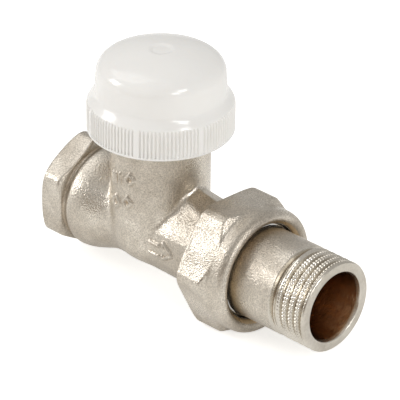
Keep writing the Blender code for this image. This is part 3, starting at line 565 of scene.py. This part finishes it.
def turned(name, outline, axis, sides, work=None):
    """A turned piece about the pipe axis (X) or the neck (Z). outline is its closed section as
    (distance along the axis, radius). work takes distances, radii and angles, and returns radii."""
    along, r = np.array(outline).T
    around = np.linspace(0, 2 * math.pi, sides, endpoint=False)
    along, turn = np.broadcast_arrays(along[:, None], around)
    r = np.repeat(r[:, None], sides, axis=1)
    if work:
        r = work(along, r, turn)
    across, up = r * np.cos(turn), r * np.sin(turn)
    points = (along, across, up) if axis == "X" else (neck_x + across, up, along)
    index = np.arange(r.size).reshape(r.shape)
    below, beside = np.roll(index, -1, 0), np.roll(index, -1, 1)
    faces = np.stack([index, beside, np.roll(below, -1, 1), below], axis=2).reshape(-1, 4)
    mesh = bpy.data.meshes.new(name)
    mesh.from_pydata(np.stack([c.ravel() for c in points], axis=1).tolist(), [], faces.tolist())
    bm = bmesh.new()
    bm.from_mesh(mesh)
    bmesh.ops.remove_doubles(bm, verts=bm.verts, dist=1e-7)
    bmesh.ops.recalc_face_normals(bm, faces=bm.faces)
    bm.to_mesh(mesh)
    bm.free()
    mesh.shade_smooth()
    mesh.set_sharp_from_angle(angle=math.radians(38))
    piece = bpy.data.objects.new(name, mesh)
    bpy.context.scene.collection.objects.link(piece)
    return piece


def arc(centre, radius, start, end, steps):
    """Points round part of a circle, as (along, radius), from one angle in degrees to another."""
    angles = (math.radians(start + (end - start) * k / steps) for k in range(steps + 1))
    return [(centre[0] + radius * math.sin(a), centre[1] + radius * math.cos(a)) for a in angles]


def evenly(start, end, steps, r):
    """Points at equal steps after start and up to end, as (along, radius), all of radius r."""
    return [(start + (end - start) * k / steps, r) for k in range(1, steps + 1)]


def cut_tail_thread(x, r, turn):
    """Cuts the thread between the undercut and the end ring, with fine notches on its crests."""
    wave = np.abs(2 * (((x + tail_thread_lead) / thread_pitch - turn / (2 * math.pi)) % 1) - 1)
    height = np.sin(math.pi / 2 * np.clip((wave - 0.1) / 0.7, 0, 1))
    on_crest = np.clip(height * 4 - 2.4, 0, 1)
    notch = np.clip(0.4 + np.cos(turn * tail_notches), 0, 1) * on_crest * tail_notch_depth
    run_in = np.clip((x - tail_thread_start - 0.7 * mm) / (0.5 * mm), 0, 1)
    notch_in = np.clip((x - tail_thread_start - 2.2 * mm) / (0.8 * mm), 0, 1)
    run_out = np.clip((tail_ring_start + 0.15 * mm - x) / (0.3 * mm), 0, 1)
    thread_r = tail_root_r + (tail_r - tail_root_r) * height * run_in - notch * notch_in
    outside = r > tail_bore_r + mm
    in_thread = outside & (x > tail_root_start) & (x < tail_ring_start + 0.15 * mm)
    return np.where(in_thread, thread_r * run_out + r * (1 - run_out), r)


tail_outline = [
    (tail_low.x, tail_bore_r), (tail_low.x, tail_nose_r - 0.4 * mm),
    (tail_low.x + 0.4 * mm, tail_nose_r), (tail_low.x + 1.7 * mm, tail_nose_r),
    (tail_low.x + 1.7 * mm, tail_flange_r - 0.3 * mm), (tail_low.x + 2.0 * mm, tail_flange_r),
    (tail_low.x + 3.3 * mm, tail_flange_r), (tail_low.x + 3.3 * mm, tail_neck_r),
    (tail_neck_end, tail_neck_r), (tail_neck_end, tail_r),
    *evenly(tail_neck_end, tail_thread_start, 12, tail_r),
    (tail_thread_start + 0.25 * mm, tail_r - 0.45 * mm), (tail_root_start, tail_root_r),
    *evenly(tail_root_start, tail_ring_start, 110, tail_root_r)[:-1],
    (tail_ring_start, tail_r), (tail_ring_start + 0.15 * mm, tail_r),
    *arc((tail_high.x - tail_ring_round, tail_r - tail_ring_round), tail_ring_round, 0, 80, 6),
    *arc((tail_high.x - 0.3 * mm, tail_bore_r + 0.6 * mm), 0.3 * mm, 90, 180, 4),
    (tail_high.x - 0.9 * mm, tail_bore_r),
]
tailpiece = turned("tailpiece_turned", tail_outline, "X", tail_notches * 8, cut_tail_thread)
turned_nickel = metal(
    "turned_nickel", (0.54, 0.495, 0.425), (0.72, 0.68, 0.61), 0.26, 1500, 0.008 * mm)


def bare_bore():
    """Bare brass that has tarnished brown, with the fine rings that the drill leaves."""
    material = metal(
        "bare_bore", (0.30, 0.195, 0.12), (0.47, 0.32, 0.205), 0.18, 900, 0.03 * mm)
    tree = material.node_tree
    at = add_node(tree, "TexCoord").outputs["Object"]
    stretched = add_node(tree, "Mapping", {"Vector": at, "Scale": (9000, 250, 250)})
    rings = add_node(tree, "TexNoise", {
        "Vector": stretched.outputs[0], "Scale": 1.0, "Detail": 2.0})
    height = tree.nodes["Bump"].inputs["Height"]
    added = add_node(tree, "Math", {0: rings.outputs["Fac"], 1: height.links[0].from_socket},
                     operation="ADD")
    tree.links.new(added.outputs[0], height)
    return material


for material in (blasted_nickel, turned_nickel, bare_bore()):
    tailpiece.data.materials.append(material)
for face in tailpiece.data.polygons:
    if math.hypot(face.center.y, face.center.z) < tail_bore_r + 0.1 * mm:
        face.material_index = 2
    elif face.center.x > tail_thread_start:
        face.material_index = 1
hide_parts("tailpiece")
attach(tailpiece, "tailpiece")

# --- Shield cap ---------------------------------------------------------------------------------
# One moulding in glossy white plastic: a skirt with seven runs of sixteen grooves to grip, an ogee,
# and a domed crown with the dimple of the mould's gate. It screws onto the bonnet's collar.
cap_low, cap_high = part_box("shield_cap")
cap_skirt_r = (cap_high.x - cap_low.x) / 2
cap_runs, cap_grooves = 7, 17           # the seventeenth place of each run is a plain wide rib
cap_groove_depth = 0.5 * mm
cap_first_rib = math.radians(-13.6)
cap_ogee_bottom = cap_low.z + 6.2 * mm
cap_crown_base = cap_ogee_bottom + 3.6 * mm
cap_crown_r = 14.7 * mm
cap_round = 3.8 * mm
cap_dome_r = 34.6 * mm
cap_gate_r = 2.6 * mm
cap_gate_depth = 0.30 * mm
cap_wall = 1.35 * mm
cap_rim_end = cap_low.z + 0.55 * mm     # of the plain band under the grooves


def groove_skirt(z, r, turn):
    """Presses the grip grooves into the skirt, from just above its rim up to the ogee's foot."""
    place = (turn - cap_first_rib) / (2 * math.pi) * cap_runs * cap_grooves
    groove = np.clip(0.62 + 0.75 * np.cos(2 * math.pi * place), 0, 1)
    groove = groove * (np.round(place) % cap_grooves != 0)
    rise = np.clip((z - cap_rim_end) / (0.25 * mm), 0, 1)
    fade = np.clip((cap_ogee_bottom + 0.9 * mm - z) / (0.8 * mm), 0, 1)
    outside = r > cap_skirt_r - 0.9 * mm
    return r - outside * cap_groove_depth * groove * rise * np.sqrt(fade)


cap_top_r = cap_crown_r - 0.25 * mm
cap_round_r = cap_top_r - cap_round
dome_centre = cap_high.z - cap_dome_r
cap_round_z = dome_centre + math.sqrt((cap_dome_r - cap_round) ** 2 - cap_round_r ** 2)
dome_edge = math.asin(cap_round_r / (cap_dome_r - cap_round))
cap_outline = [
    (cap_low.z, cap_skirt_r - cap_wall), (cap_low.z, cap_skirt_r - 0.5 * mm),
    (cap_low.z + 0.12 * mm, cap_skirt_r - 0.15 * mm), (cap_low.z + 0.35 * mm, cap_skirt_r),
    (cap_rim_end, cap_skirt_r), (cap_low.z + 0.68 * mm, cap_skirt_r),
    (cap_low.z + 0.8 * mm, cap_skirt_r), (cap_low.z + 3 * mm, cap_skirt_r),
    (cap_ogee_bottom - 0.1 * mm, cap_skirt_r),
]
for k in range(1, 19):
    share = k / 18
    step_in = (cap_skirt_r - cap_crown_r) * (0.5 - 0.5 * math.cos(math.pi * share))
    z = cap_ogee_bottom + (cap_crown_base - cap_ogee_bottom) * share
    cap_outline.append((z, cap_skirt_r - step_in))
cap_outline.append((cap_crown_base + 2 * mm, cap_crown_r - 0.1 * mm))
for k in range(9):
    a = (math.pi / 2 - dome_edge) * k / 8
    z = cap_round_z + cap_round * math.sin(a)
    cap_outline.append((z, cap_round_r + cap_round * math.cos(a)))
for k in range(1, 31):
    a = dome_edge * (1 - k / 30)
    r = cap_dome_r * math.sin(a)
    dip = cap_gate_depth * min(1, max(0, (cap_gate_r - r) / (0.5 * mm)))
    cap_outline.append((dome_centre + cap_dome_r * math.cos(a) - dip, r))
cap_outline += [
    (cap_high.z - 1.8 * mm, 0), (cap_high.z - 2.3 * mm, 8 * mm),
    (cap_round_z, cap_top_r - cap_wall), (cap_crown_base, cap_top_r - cap_wall),
    (cap_crown_base - 2.65 * mm, cap_skirt_r - cap_wall),
]
cap_sides = cap_runs * cap_grooves * 8
shield_cap = turned("shield_cap_moulding", cap_outline, "Z", cap_sides, groove_skirt)


def moulded_plastic():
    """Glossy white plastic: a faint ripple from the mould and a hint of shine under the surface."""
    material = bpy.data.materials.new("white_plastic")
    material.use_nodes = True
    tree = material.node_tree
    shader = tree.nodes["Principled BSDF"]
    shader.inputs["Subsurface Weight"].default_value = 0.1
    shader.inputs["Subsurface Radius"].default_value = (1.0, 0.9, 0.8)
    shader.inputs["Subsurface Scale"].default_value = 0.8 * mm
    shader.inputs["IOR"].default_value = 1.49
    ripple = add_node(tree, "TexNoise", {
        "Vector": add_node(tree, "TexCoord").outputs["Object"], "Scale": 220.0, "Detail": 2.0})
    rough = add_node(tree, "MapRange", {
        "Value": ripple.outputs["Fac"], "To Min": 0.10, "To Max": 0.18})
    colour = add_node(tree, "Mix", {
        "Factor": ripple.outputs["Fac"], 6: (0.89, 0.875, 0.85, 1), 7: (0.92, 0.91, 0.885, 1),
    }, data_type="RGBA")
    bump = add_node(tree, "Bump", {
        "Height": ripple.outputs["Fac"], "Strength": 0.5, "Distance": 0.02 * mm})
    tree.links.new(colour.outputs[2], shader.inputs["Base Color"])
    tree.links.new(rough.outputs["Result"], shader.inputs["Roughness"])
    tree.links.new(bump.outputs["Normal"], shader.inputs["Normal"])
    return material


shield_cap.data.materials.append(moulded_plastic())
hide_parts("shield_cap")
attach(shield_cap, "shield_cap")

# --- Bonnet -------------------------------------------------------------------------------------
# The headwork insert, turned from brass bar and left bare. Its spigot screws into the neck, its
# collar carries the M30 x 1.5 cap thread, and its crown guides the spindle.
bonnet_low, bonnet_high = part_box("bonnet")
seal_low, seal_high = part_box("bonnet_o_ring")
clip_low, clip_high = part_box("circlip")
bonnet_collar_r = bonnet_high.y
bonnet_collar_low = neck_top + 0.3 * mm
bonnet_collar_top = bonnet_high.z - 6.4 * mm
bonnet_hex_top = bonnet_high.z - 3.0 * mm
bonnet_flat_r = 11.0 * mm
bonnet_corner_r = 12.2 * mm
bonnet_crown_r = 7.6 * mm
bonnet_spigot_r = 9.2 * mm
bonnet_well_r = 5.7 * mm
bonnet_guide_r = 6.7 * mm
bonnet_guide_top = 22.1 * mm
bonnet_well_floor = bonnet_collar_top + 0.5 * mm
seal_groove_r = 7.7 * mm
seal_play = 0.15 * mm
clip_play = 0.2 * mm
spindle_bore_r = 4.2 * mm
cap_pitch = 1.5 * mm
cap_thread_depth = 0.8 * mm
cap_thread_start = bonnet_collar_low + 0.6 * mm
cap_thread_end = bonnet_collar_top - 0.6 * mm


def cut_bonnet(z, r, turn):
    """Cuts the cap thread into the collar and the six spanner flats above it."""
    wave = np.abs(2 * ((z / cap_pitch - turn / (2 * math.pi)) % 1) - 1)
    threaded = (z > cap_thread_start) & (z < cap_thread_end) & (r > 14 * mm)
    r = np.where(threaded, r - cap_thread_depth * (1 - wave), r)
    flat = bonnet_flat_r / np.cos(turn % (math.pi / 3) - math.pi / 6)
    above_collar = z > bonnet_collar_top - 0.01 * mm
    spanner = above_collar & (r > bonnet_crown_r + 0.5 * mm) & (r < 12.5 * mm)
    return np.where(spanner, np.minimum(r, flat), r)


bonnet_outline = [
    (bonnet_low.z, bonnet_guide_r), (bonnet_low.z, bonnet_spigot_r),
    (seal_low.z - seal_play, bonnet_spigot_r), (seal_low.z - seal_play, seal_groove_r),
    (seal_high.z + seal_play, seal_groove_r), (seal_high.z + seal_play, bonnet_spigot_r),
    (bonnet_collar_low, bonnet_spigot_r), (bonnet_collar_low, bonnet_collar_r - 0.7 * mm),
    (cap_thread_start, bonnet_collar_r),
    *evenly(cap_thread_start, cap_thread_end, 48, bonnet_collar_r),
    (bonnet_collar_top, bonnet_collar_r - 0.7 * mm), (bonnet_collar_top, bonnet_corner_r),
    (bonnet_hex_top - 0.6 * mm, bonnet_corner_r), (bonnet_hex_top, bonnet_corner_r - mm),
    (bonnet_hex_top, bonnet_crown_r), (bonnet_high.z - 0.3 * mm, bonnet_crown_r),
    (bonnet_high.z, bonnet_crown_r - 0.3 * mm), (bonnet_high.z, bonnet_well_r + 0.2 * mm),
    (bonnet_high.z - 0.2 * mm, bonnet_well_r), (clip_high.z + clip_play, bonnet_well_r),
    (clip_high.z + clip_play, clip_high.y + clip_play),
    (clip_low.z - clip_play, clip_high.y + clip_play), (clip_low.z - clip_play, bonnet_well_r),
    (bonnet_well_floor, bonnet_well_r), (bonnet_well_floor, spindle_bore_r),
    (bonnet_guide_top, spindle_bore_r), (bonnet_guide_top, bonnet_guide_r),
]
bonnet = turned("bonnet_turned", bonnet_outline, "Z", 360, cut_bonnet)
bonnet.data.materials.append(bare_brass)
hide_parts("bonnet")
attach(bonnet, "valve")

# --- Spindle and plug ---------------------------------------------------------------------------
# Turned brass parts inside the headwork: the spindle with its key socket, the plug that it draws
# up, and the retainer that clamps the seat washer. They keep their modelled shapes.


def finish(material, *names):
    """Gives this material to modelled pieces that keep their shape."""
    for node in names:
        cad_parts[node].data.materials.clear()
        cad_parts[node].data.materials.append(material)


finish(bare_brass, "spindle", "plug", "washer_retainer")

# --- Steel fasteners and rings ------------------------------------------------------------------
# The snap ring that holds the nut on the tail, the circlip over the spindle and the screw of the
# seat washer. They are bright stainless steel: bent wire, a stamping and a turned screw.
drawn_steel = metal("drawn_steel", (0.50, 0.50, 0.50), (0.68, 0.68, 0.67), 0.24, 2200, 0.006 * mm)
finish(drawn_steel, "snap_ring", "circlip", "washer_screw")

# --- Seals --------------------------------------------------------------------------------------
# The O-rings, the seat washer and the gasket in the cap are moulded in black rubber, and the slip
# ring is cut from white PTFE. Each is slightly mottled and has no shine.


def seal_material(name, dark, light, roughness):
    """A dull seal: mottled colour, and a surface slightly uneven from the mould or the cutter."""
    material = bpy.data.materials.new(name)
    material.use_nodes = True
    tree = material.node_tree
    shader = tree.nodes["Principled BSDF"]
    mottle = add_node(tree, "TexNoise", {
        "Vector": add_node(tree, "TexCoord").outputs["Object"], "Scale": 700.0, "Detail": 4.0})
    colour = add_node(tree, "Mix", {
        "Factor": mottle.outputs["Fac"], 6: (*dark, 1), 7: (*light, 1)}, data_type="RGBA")
    rough = add_node(tree, "MapRange", {
        "Value": mottle.outputs["Fac"], "To Min": roughness, "To Max": roughness + 0.2})
    bump = add_node(tree, "Bump", {"Height": mottle.outputs["Fac"], "Distance": 0.02 * mm})
    tree.links.new(colour.outputs[2], shader.inputs["Base Color"])
    tree.links.new(rough.outputs["Result"], shader.inputs["Roughness"])
    tree.links.new(bump.outputs["Normal"], shader.inputs["Normal"])
    return material


black_rubber = seal_material("black_rubber", (0.012, 0.012, 0.012), (0.035, 0.034, 0.032), 0.5)
o_rings = ("tail_o_ring", "bonnet_o_ring", "spindle_o_ring_lower", "spindle_o_ring_upper")
finish(black_rubber, "seat_washer", "cap_gasket", *o_rings)
white_ptfe = seal_material("white_ptfe", (0.76, 0.75, 0.72), (0.86, 0.85, 0.83), 0.42)
finish(white_ptfe, "slip_ring")
